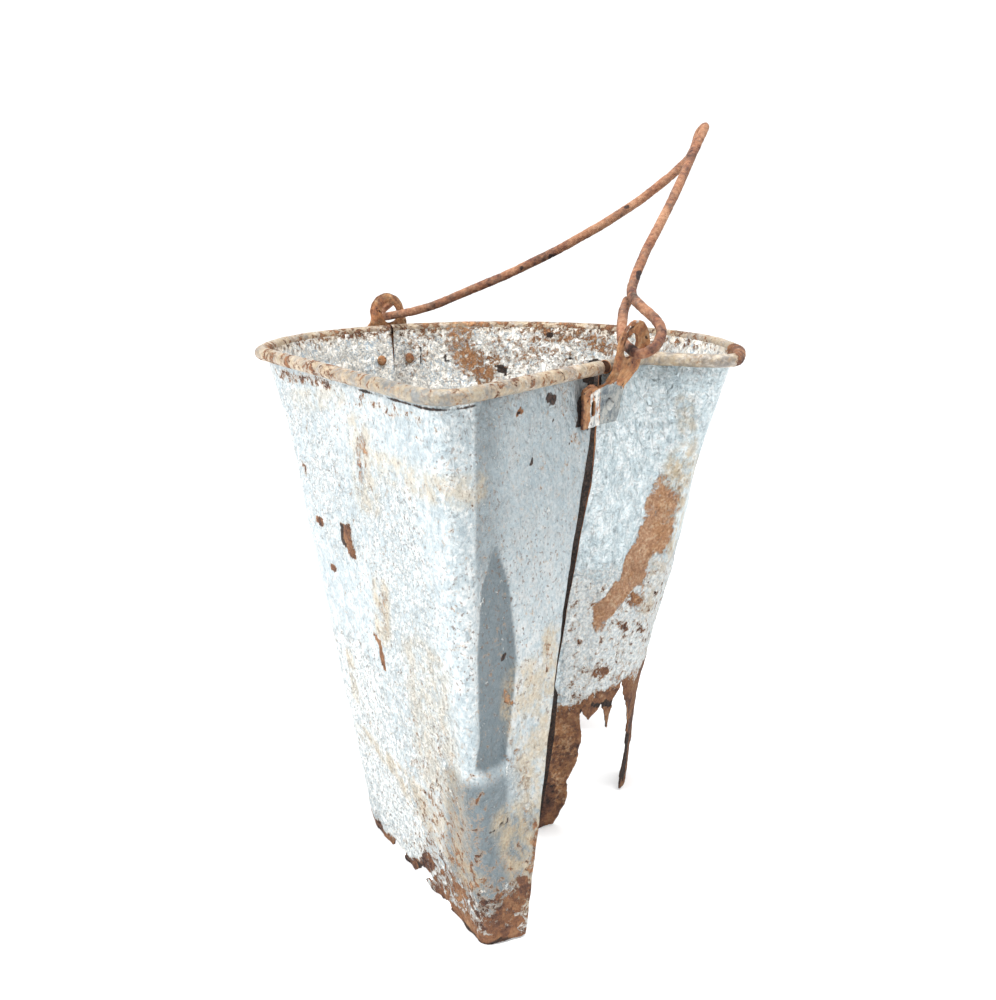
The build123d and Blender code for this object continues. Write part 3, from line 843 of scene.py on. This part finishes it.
def rear_inner(points):
    masks = inner_masks(points, 87)
    w = warped(points)
    back = points[:, 1] > 0.02
    rust = strokes(w, [(-30, 294, -24, 272, 12, 0.44), (-22, 272, -12, 260, 13, 0.56),
        (-8, 272, 2, 266, 6, 0.5), (30, 288, 60, 292, 5, 0.5), (70, 286, 84, 280, 6, 0.5)])
    masks["rust"] = np.maximum(masks["rust"], np.where(back, rust, 0))
    orange = strokes(w, [(-32, 294, -26, 272, 16, 0.52), (-26, 272, -10, 260, 15, 0.46),
        (14, 276, 20, 272, 6, 0.4), (70, 290, 86, 282, 6, 0.5), (20, 292, 60, 292, 6, 0.4)])
    masks["orange"] = np.maximum(masks["orange"], np.where(back, orange, 0))
    # the first of these is painted shade behind the near seam's gap, so that the gap looks dark
    dark = strokes(w, [(70, 262, 72, 200, 18, 0.74), (-1, 265, 4, 263, 4.4, 0.8),
        (-41, 275, -40, 272, 3.2, 0.7), (38, 291, 39, 290, 3.2, 0.8), (52, 274, 52, 274, 3.0, 0.8),
        (-60, 281, -60, 270, 2.4, 0.6)])
    masks["dark"] = np.maximum(masks["dark"], np.where(back, dark, 0))
    return masks


def rear_shape(grid):
    """How far the rear half's dents stand out."""
    z = grid[..., 2]
    scaly = (1 - smooth(0.150, 0.185, z)) * MM
    depth = scaly * (0.50 * rough(grid, 0.006, 84) - 0.1)
    depth += strokes(grid, [(60, 250, 80, 220, 18, -1.3 * MM), (98, 262, 104, 240, 12, 1.0 * MM),
        (64, 180, 70, 150, 12, 1.1 * MM)])
    depth += 0.35 * MM * noise(grid * np.array([1.0, 1.0, 0.5]), 0.0075, 85)
    return depth * calm(grid)


def rear_keep(grid):
    z = grid[..., 2]
    ragged = z - 0.8 * MM * (1 + rough(grid, 0.006, 81))
    frayed = 1.7 * MM * rough(grid, 0.006, 82)
    arch = np.where(grid[..., 1] < -0.002, -side_view(grid, 0, ARCH) + frayed, 1.0)
    back = np.where(grid[..., 0] > 0.040, -side_view(grid, 1, BACK_BITE) + frayed, 1.0)
    return np.minimum.reduce([ragged, arch, back, edge_keep(grid, 83)])


def rear_paint(points):
    x, y, z = in_mm(points)
    lumps = rough(points, 0.014, 86)
    fine = rough(points, 0.005, 88)
    w = warped(points)
    front = y < 10
    rust = 0.95 * (1 - smooth(80, 100, z + 7 * lumps))
    rust = np.maximum(rust, np.where(front,
        strokes(w, [(80, 150, 84, 146, 5, 0.62), (74, 132, 77, 128, 4, 0.6), (60, 105, 66, 102, 4, 0.6),
            (88, 128, 90, 122, 4, 0.5)]), 0))
    orange = strokes(w, [
        (98, 221, 98, 208, 10, 0.54), (99, 208, 95, 186, 17, 0.66), (92, 192, 80, 162, 12, 0.76),
        (80, 162, 62, 146, 10, 0.74),
        (34, 84, 44, 20, 16, 0.47), (60, 90, 84, 92, 8, 0.42), (112, 228, 108, 196, 7, 0.34),
        (62, 146, 60, 134, 6, 0.6), (88, 164, 84, 140, 7, 0.46), (104, 200, 102, 176, 8, 0.40),
    ])
    scaly = smooth(30, 44, x) * (1 - smooth(158, 186, z + 8 * lumps))
    rust = np.maximum(rust, np.where(front, (0.29 + 0.10 * fine) * scaly, 0.06))
    white = np.where(front, 0.16 + 0.62 * scaly, 0.2)
    stain = np.where(front, strokes(points,
        [(110, 232, 102, 176, 15, 1.0), (110, 270, 114, 240, 8, 0.7), (104, 176, 92, 140, 8, 0.7)]), 0.2)
    # shade is painted shade: a little everywhere, a band below the bead at the right, and patches on the
    # scaly zone
    shade = np.where(front, 0.06 + strokes(points, [(98, 286, 118, 286, 6, 0.3)]) + 0.12 * scaly
        * smooth(0.0, 0.5, fine), 0.15)
    # dark rust and painted shade on the strip of the rear half behind the front half's edge, low in the slit
    lip = np.interp(z, [0, 18, 64, 95, 110], [24, 27, 33, 35, 30])
    dark = np.where(front, 1.1 * (1 - smooth(-0.8, 0.8, x - lip)) * (1 - smooth(104, 112, z)), 0)
    # the second stroke, along the right leg's edge by the arch, is dark rust and painted shade
    dark = np.maximum(dark, np.where(front,
        strokes(w, [(58, 82, 70, 78, 3, 0.7), (84, 36, 80, 8, 6, 0.75)]), 0))
    # painted shade on the rear half's strip seen between the front half and the near ear
    dark = np.maximum(dark, np.where(front, 1.2 * (1 - smooth(55, 58, x)) * smooth(262, 266, z), 0))
    # painted shade: the wall inside the bead's curl, and a dark line under the bead
    dark = np.maximum(dark, 1.1 * smooth(292.4, 293.4, z) + 0.75 * shade_under_bead(points, 66, 124))
    return {"rust": rust, "orange": np.where(front, orange, 0.1), "white": white, "stain": stain,
        "dark": dark, "shade": shade}


half_shell(
    "front_half", front_outline, FRONT_LEVELS, heights(1.3 * MM, 30 * MM, 2.1 * MM), 1,
    front_shape, front_keep, front_paint, front_inner, front_zinc, "front_shell",
)
half_shell(
    "rear_half", rear_outline, REAR_LEVELS, heights(1.6 * MM, 100 * MM, 2.2 * MM), 2,
    rear_shape, rear_keep, rear_paint, rear_inner, rear_zinc, "rear_shell",
)

for node in ("front_rim_wire", "rear_rim_wire"):
    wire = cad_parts[node]
    wire.data.materials.clear()
    wire.data.materials.append(wire_rust_and_hollow_shade)


# ---- ears ---------------------------------------------------------------------------------
LOBE_R = 14.5
HOLE_R = 7.0
HOLE_UP = 2.5
FLANGE = 4.5
NEAR_OUT = np.array([0.785, -0.62, 0.0]) / math.hypot(0.785, 0.62)
FAR_OUT = np.array([-0.6, 0.8, 0.0])
NEAR_SIDE_LINE = [(4.2, 19.0), (0.9, 0.0), (-1.5, -11.0), (-8.8, -21.5), (-9.0, -42.0)]
FAR_SIDE_LINE = [(4.4, 19.0), (1.3, 0.0), (1.8, -14.0), (-8.8, -22.5), (-13.0, -42.0)]
NEAR_CORNERS = [(14.2, -13), (12.4, -19), (9.0, -27), (5.0, -38.5), (2.8, -41.8), (-14.5, -42),
    (-34.2, -41.8), (-34.2, -17), (-32, -16.2),
                (-15.5, -20), (-14.5, -19)]
FAR_CORNERS = [(14.5, 0), (22, -11), (22, -42), (-16, -42), (-16, -17), (-14.5, -15)]
LOBE_TOP = [(LOBE_R * math.cos(a), HOLE_UP + LOBE_R * math.sin(a)) for a in np.linspace(0, math.pi, 48)]


def across(out):
    return np.array([-out[1], out[0], 0.0])


def ear(name, node, pivot, out, side_line, corners, reach, leaf, rivets, slots, masks, seed):
    """A pressed ear: a plate that follows its side line, its round top's edge turned out."""
    v, u = np.meshgrid(np.arange(-43, 18.6, 0.5), np.arange(reach[0], reach[1], 0.5), indexing="ij")
    flat = np.stack([u, v], -1)
    edge = inside_distance(flat, LOBE_TOP + corners[::-1])
    ups = np.array([p[1] for p in side_line[::-1]])
    outs = np.array([p[0] for p in side_line[::-1]])
    n = sum(np.interp(v + shift, ups, outs) for shift in (-1.5, -0.5, 0.5, 1.5)) / 4 - 0.9
    if leaf:
        n_leaf = -9.9 + math.tan(math.radians(6)) * (-14.5 - u)
        n = n + (n_leaf - n) * smooth(13.0, 15.6, -u)
    lobe = np.hypot(u, v - HOLE_UP)
    left_low, right_low = (-17, -3) if leaf else (-1, -1)
    held = np.where(u < 0, smooth(left_low - 4, left_low + 2, v), smooth(right_low - 4, right_low + 3, v))
    from_side = np.where(v > HOLE_UP, LOBE_R - lobe, LOBE_R - np.abs(u))
    turned = held * (1 - smooth(0.9, 2.7, from_side))
    top = np.minimum(FLANGE - 0.35, n + 5.6)
    n = n + (top - n) * turned
    n = n - 0.9 * held * smooth(0.35, 1.0, from_side / 6) * smooth(0.0, 1.0, (lobe - HOLE_R) / 3) * 0.6
    spots = flat[..., [0, 1, 0]] * MM
    n = n + 0.22 * noise(spots, 0.006, seed) + 0.10 * noise(spots, 0.0022, seed + 1)
    places = pivot + MM * (u[..., None] * across(out) + n[..., None] * out + v[..., None]
        * np.array([0, 0, 1.0]))
    ragged = 0.35 * (1 + rough(places, 0.004, seed + 2))
    keep = edge - ragged
    keep = np.minimum(keep, lobe - HOLE_R - 0.25 * noise(places, 0.003, seed + 3))
    for a, b in rivets:
        keep = np.minimum(keep, np.hypot(u - a, v - b) - 2.6)
    for a, b, half, radius in slots:
        keep = np.minimum(keep, np.hypot(u - a, v - b - np.clip(v - b, -half, half)) - radius)
    steps, faces, _ = cut_grid(keep)
    points = on_steps(places, steps)
    where = on_steps(flat, steps)
    painted = masks(where[:, 0], where[:, 1], points)
    both, all_faces, kinds = thicken(points, faces, [0] * len(faces),
        EAR_SHEET * (1 + 0.08 * noise(points, 0.004, seed + 4)), 1, [0] * len(faces))
    doubled = {key: np.r_[value, value] for key, value in painted.items()}
    new_piece(name, both, all_faces, [ear_rust, torn_edge], BUCKET, kinds, doubled, [node])


def near_masks(u, v, points):
    lumps = noise(points, 0.006, 90)
    right_leaf = smooth(-15.2, -14.0, u) * (1 - smooth(-23, -17, v + 2 * lumps + 0.25 * u))
    left_leaf = smooth(14.4, 15.4, -u) * (1 - smooth(25.5, 30.0, -u + 1.5 * lumps))
    left_leaf = left_leaf * (1 - smooth(-23.5, -19.5, v - 0.2 * (u + 24)))
    strip = (1 - smooth(1.0, 2.4, LOBE_R - np.hypot(u, v - HOLE_UP))) * smooth(6, 12, v) * (u < 2)
    groove = np.exp(-(((LOBE_R - 3.6 - np.hypot(u, v - HOLE_UP)) / 1.1) ** 2)) * (u < 0) * smooth(-4, 2, v)
    slot = np.exp(-(((u + 22.5) / 3.6) ** 2) - ((v + 38) / 3.0) ** 2)
    return {
        # zinc is left on both leaves; the right leaf's darker blue-grey is painted shade and the left leaf's
        # white partly painted light, across the fold; the rim strip is pale zinc with a painted highlight on
        # its edge
        "zinc": np.maximum(0.80 * right_leaf, 0.66 * left_leaf) + 0.5 * strip,
        "white": np.clip(0.75 * left_leaf + strip, 0, 1) * (1 - 0.5 * slot),
        # dark: painted shade in the groove inside the turned-out rim and along the left leaf's edge, which
        # stands off the wall
        "dark": np.clip(0.75 * groove + 0.6 * smooth(33.2, 34.4, -u), 0, 1),
    }


def far_masks(u, v, points):
    patch = np.exp(-(((u - 16) / 4.5) ** 2) - ((v + 17) / 5.0) ** 2)
    groove = np.exp(-(((LOBE_R - 3.6 - np.hypot(u, v - HOLE_UP)) / 1.1) ** 2)) * smooth(-4, 2, v)
    # dark: painted shade in the groove inside the turned-out rim
    return {"zinc": 0.8 * patch, "white": 0.2 + 0 * u, "dark": 0.45 * groove}


ear(
    "near_ear_pressing", "near_ear", NEAR_PIVOT, NEAR_OUT, NEAR_SIDE_LINE, NEAR_CORNERS, (-36, 16), True,
    [(-5.0, -31.0)], [(-22.5, -31.0, 1.8, 2.7)], near_masks, 201,
)
ear(
    "far_ear_pressing", "far_ear", FAR_PIVOT, FAR_OUT, FAR_SIDE_LINE, FAR_CORNERS, (-17.5, 23.5), False,
    [(17.5, -31.0), (-6.5, -31.0)], [], far_masks, 211,
)


# ---- rivets -------------------------------------------------------------------------------
def rivet(name, node, pivot, out, along, outward, lean, grip, seed, zinc_left=0.0):
    """A hammered rivet: a worn dome on the ear, a shank, and a flatter head inside the wall."""
    lean = math.radians(lean)
    axis = out * math.cos(lean) - np.array([0, 0, 1.0]) * math.sin(lean)
    side = across(out)
    rise = np.cross(axis, side)
    base = pivot + MM * (along * side + outward * out + np.array([0, 0, -31.0]))
    inner = -grip - 0.1
    profile = [
        (1.80, 0.0), (1.78, 0.8), (1.66, 1.7), (1.42, 2.5), (1.08, 3.2), (0.66, 3.75), (0.30, 4.0),
        (0.12, 3.9), (0.11, 2.4),
        (inner - 0.01, 2.4), (inner - 0.02, 3.9), (inner - 0.25, 4.05), (inner - 0.70, 3.9),
        (inner - 1.15, 3.3),
        (inner - 1.45, 2.4), (inner - 1.58, 1.3), (inner - 1.60, 0.0),
    ]
    turns = 40
    points, faces = [], []
    for height, radius in profile:
        for k in range(turns):
            a = 2 * math.pi * k / turns
            spot = np.array([math.cos(a) * radius, math.sin(a) * radius, height]) * MM
            shrink = 1 - 0.06 * (1 + noise(spot + seed, 0.003, seed)) * (radius > 2.5)
            spot = spot * np.array([shrink, shrink, 1.0])
            points.append(base + spot[0] * side + spot[1] * rise + spot[2] * axis)
    for i in range(len(profile) - 1):
        for k in range(turns):
            a, b = i * turns + k, i * turns + (k + 1) % turns
            faces.append([b, a, a + turns, b + turns])
    points = np.array(points)
    outside = (points - base) @ axis > 0
    painted = {"dark": 0 * outside, "zinc": zinc_left * outside, "white": 0.1 * outside}
    new_piece(name, points, faces, [ear_rust], BUCKET, None, painted, [node])


rivet("near_rivet", "near_ear_rivet", NEAR_PIVOT, NEAR_OUT, -5.0, -8.9, 0.6, 6.0, 5, zinc_left=0.9)
rivet("far_rivet_left", "far_ear_rivet_left", FAR_PIVOT, FAR_OUT, 17.5, -10.6, 12.2, 5.4, 6)
rivet("far_rivet_right", "far_ear_rivet_right", FAR_PIVOT, FAR_OUT, -6.5, -10.6, 12.2, 5.0, 7)


# ---- bail ---------------------------------------------------------------------------------
NEAR_HOOK = [
    (-20.0, 16.5), (-10.5, 5.0), (0.0, 0.8), (10.5, -3.2), (18.0, 4.0), (12.8, 17.0),
    (-0.7, 25.5), (-16.1, 32.5), (-35.1, 41.8),
]
NEAR_END = [(-43.0, 44.5, 6.9), (-32.6, 30.5, 3.0)]
FAR_HOOK = [(-41.7, 15.5), (-21.7, 7.0), (0.0, 0.8), (11.0, -2.8), (18.6, 4.5), (15.0, 15.0)]
BAIL_LINE = [
    (-84.6, 60.7, 0), (-76.3, 81.0, 0), (-69.5, 103.1, 0), (-62.0, 126.0, 0), (-54.0, 147.8, 0),
    (-43.4, 174.5, 0), (-35.8, 196.0, 0), (-29.5, 207.5, 1.5), (-22.8, 204.0, 5.5), (-29.5, 190.5, 6.8),
    (-33.4, 178.2, 6.8), (-31.0, 157.0, 5.8), (-24.4, 131.2, 4.0), (-12.7, 105.6, 2.0), (7.3, 76.5, 0),
    (36.4, 51.2, 0), (68.6, 28.7, 0),
]
hinge = (FAR_PIVOT - NEAR_PIVOT) / np.linalg.norm(FAR_PIVOT - NEAR_PIVOT)
half_span = np.linalg.norm(FAR_PIVOT - NEAR_PIVOT) / 2 / MM
sideways = np.cross(hinge, [0, 0, 1.0])
sideways /= np.linalg.norm(sideways)
bail_up = np.array([0, 0, 1.0]) * math.cos(math.radians(50)) + sideways * math.sin(math.radians(50))
bail_out = np.cross(hinge, bail_up)


def bent_wire(corners, step):
    """Points along a wire whose bends use up almost half of their shorter run."""
    path = [corners[0]]
    for before, corner, after in zip(corners, corners[1:], corners[2:]):
        run_in, run_out = corner - before, after - corner
        in_length, out_length = np.linalg.norm(run_in), np.linalg.norm(run_out)
        run_in, run_out = run_in / in_length, run_out / out_length
        half_turn = math.acos(np.clip(run_in @ run_out, -1, 1)) / 2
        radius = min(60.0, 0.46 * min(in_length, out_length) / math.tan(half_turn))
        trim = radius * math.tan(half_turn)
        toward = run_out - run_in
        toward /= np.linalg.norm(toward)
        centre = corner + toward * radius / math.cos(half_turn)
        start = corner - run_in * trim - centre
        bends = max(3, int(2 * half_turn * radius / step))
        for angle in np.linspace(0, 2 * half_turn, bends):
            path.append(centre + start * math.cos(angle) + run_in * radius * math.sin(angle))
    path.append(corners[-1])
    path = np.array(path)
    length = np.r_[0, np.cumsum(np.linalg.norm(np.diff(path, axis=0), axis=1))]
    at = np.linspace(0, length[-1], int(length[-1] / step))
    return np.stack([np.interp(at, length, path[:, axis]) for axis in range(3)], 1)


def wire_mesh(path, radius, turns, seed):
    """A pitted, scaly round bar along a path, with worn ends."""
    tangents = np.gradient(path, axis=0)
    tangents /= np.linalg.norm(tangents, axis=1, keepdims=True)
    side = np.cross(tangents[0], [0.3, 0.5, 0.8])
    points, count = [], len(path)
    for k in range(count):
        side = side - tangents[k] * (side @ tangents[k])
        side /= np.linalg.norm(side)
        other = np.cross(tangents[k], side)
        angles = 2 * np.pi * np.arange(turns) / turns
        round_ = np.cos(angles)[:, None] * side + np.sin(angles)[:, None] * other
        spots = path[k] + round_ * radius
        scale = 0.045 * (1 + rough(spots, 0.0065, seed))
        scale += 0.07 * smooth(0.25, 0.7, noise(spots, 0.0034, seed + 5))
        scale += 0.035 * (1 + noise(spots, 0.0016, seed + 7))
        from_end = min(k, count - 1 - k) / 3.0
        worn = math.sqrt(1 - (1 - min(from_end + 0.12, 1.0)) ** 2)
        points.append(path[k] + round_ * (radius * worn * (1 - scale))[:, None])
    faces = []
    for i in range(count - 1):
        for k in range(turns):
            a, b = i * turns + k, i * turns + (k + 1) % turns
            faces.append([a, b, b + turns, a + turns])
    faces.append(list(range(turns))[::-1])
    faces.append(list(range((count - 1) * turns, count * turns)))
    return np.concatenate(points), faces


near_side = [(-half_span - o, up, aside) for o, up, aside in NEAR_END]
near_side += [(-half_span - o, up, 0) for o, up in NEAR_HOOK]
far_side = [(half_span + o, up, 0) for o, up in FAR_HOOK]
bail_path = bent_wire(np.array(near_side + BAIL_LINE + far_side, float), 0.8) * MM
bail_path = (
    (NEAR_PIVOT + FAR_PIVOT) / 2
    + bail_path[:, :1] * hinge
    + bail_path[:, 1:2] * bail_up
    + bail_path[:, 2:] * bail_out
)
wire_points, wire_faces = wire_mesh(bail_path, BAIL_R, 28, 301)
pits = 0.75 * smooth(0.35, 0.65, noise(wire_points, 0.007, 310))
pits = pits * smooth(0.0, 0.4, noise(wire_points, 0.030, 311))
new_piece("bail_wire", wire_points, wire_faces, [bail_rust], BAIL, None, {"dark": pits},
    ["bail"])


# ---- floor, light and camera --------------------------------------------------------------
STUDIO_BRIGHTNESS = 1.16
LENS = 38.6
CAMERA_PLACE = (-0.0014, -0.6595, 0.3780)
CAMERA_DOWN = 14.91

bpy.ops.mesh.primitive_plane_add(size=12, location=(0, 2, 0))
floor = bpy.context.object
floor.name = "floor"
n = Nodes("floor_white")
floor.data.materials.append(
    n.finish(n.colours(n.noise(0.4, 2), (0.3, (0.95, 0.95, 0.95)), (0.7, (0.97, 0.97, 0.97))), 0.9,
        n.bump(n.noise(0.01), 0.0001), specular=0.1)
)

world = bpy.data.worlds.new("studio")
scene.world = world
world.use_nodes = True
world.node_tree.nodes["Background"].inputs[0].default_value = (1.0, 1.0, 1.0, 1)
world.node_tree.nodes["Background"].inputs[1].default_value = STUDIO_BRIGHTNESS


def soft_light(name, location, aim, size, power):
    data = bpy.data.lights.new(name, "AREA")
    data.shape = "DISK"
    data.size = size
    data.energy = power
    light = bpy.data.objects.new(name, data)
    light.location = location
    light.rotation_euler = (Vector(aim) - Vector(location)).to_track_quat("-Z", "Y").to_euler()
    scene.collection.objects.link(light)


soft_light("key", (-1.65, -0.85, 1.55), (0, 0, 0.15), 0.8, 42)
soft_light("fill", (0.30, -0.05, 2.1), (0, 0, 0.28), 1.1, 42)

scene.view_settings.view_transform = "Standard"

camera = bpy.data.objects.new("camera", bpy.data.cameras.new("camera"))
camera.data.sensor_fit = "HORIZONTAL"
camera.data.sensor_width = 36.0
camera.data.lens = LENS
camera.data.clip_start = 0.01
camera.location = CAMERA_PLACE
camera.rotation_euler = (math.radians(90 - CAMERA_DOWN), 0, 0)
scene.collection.objects.link(camera)
scene.camera = camera
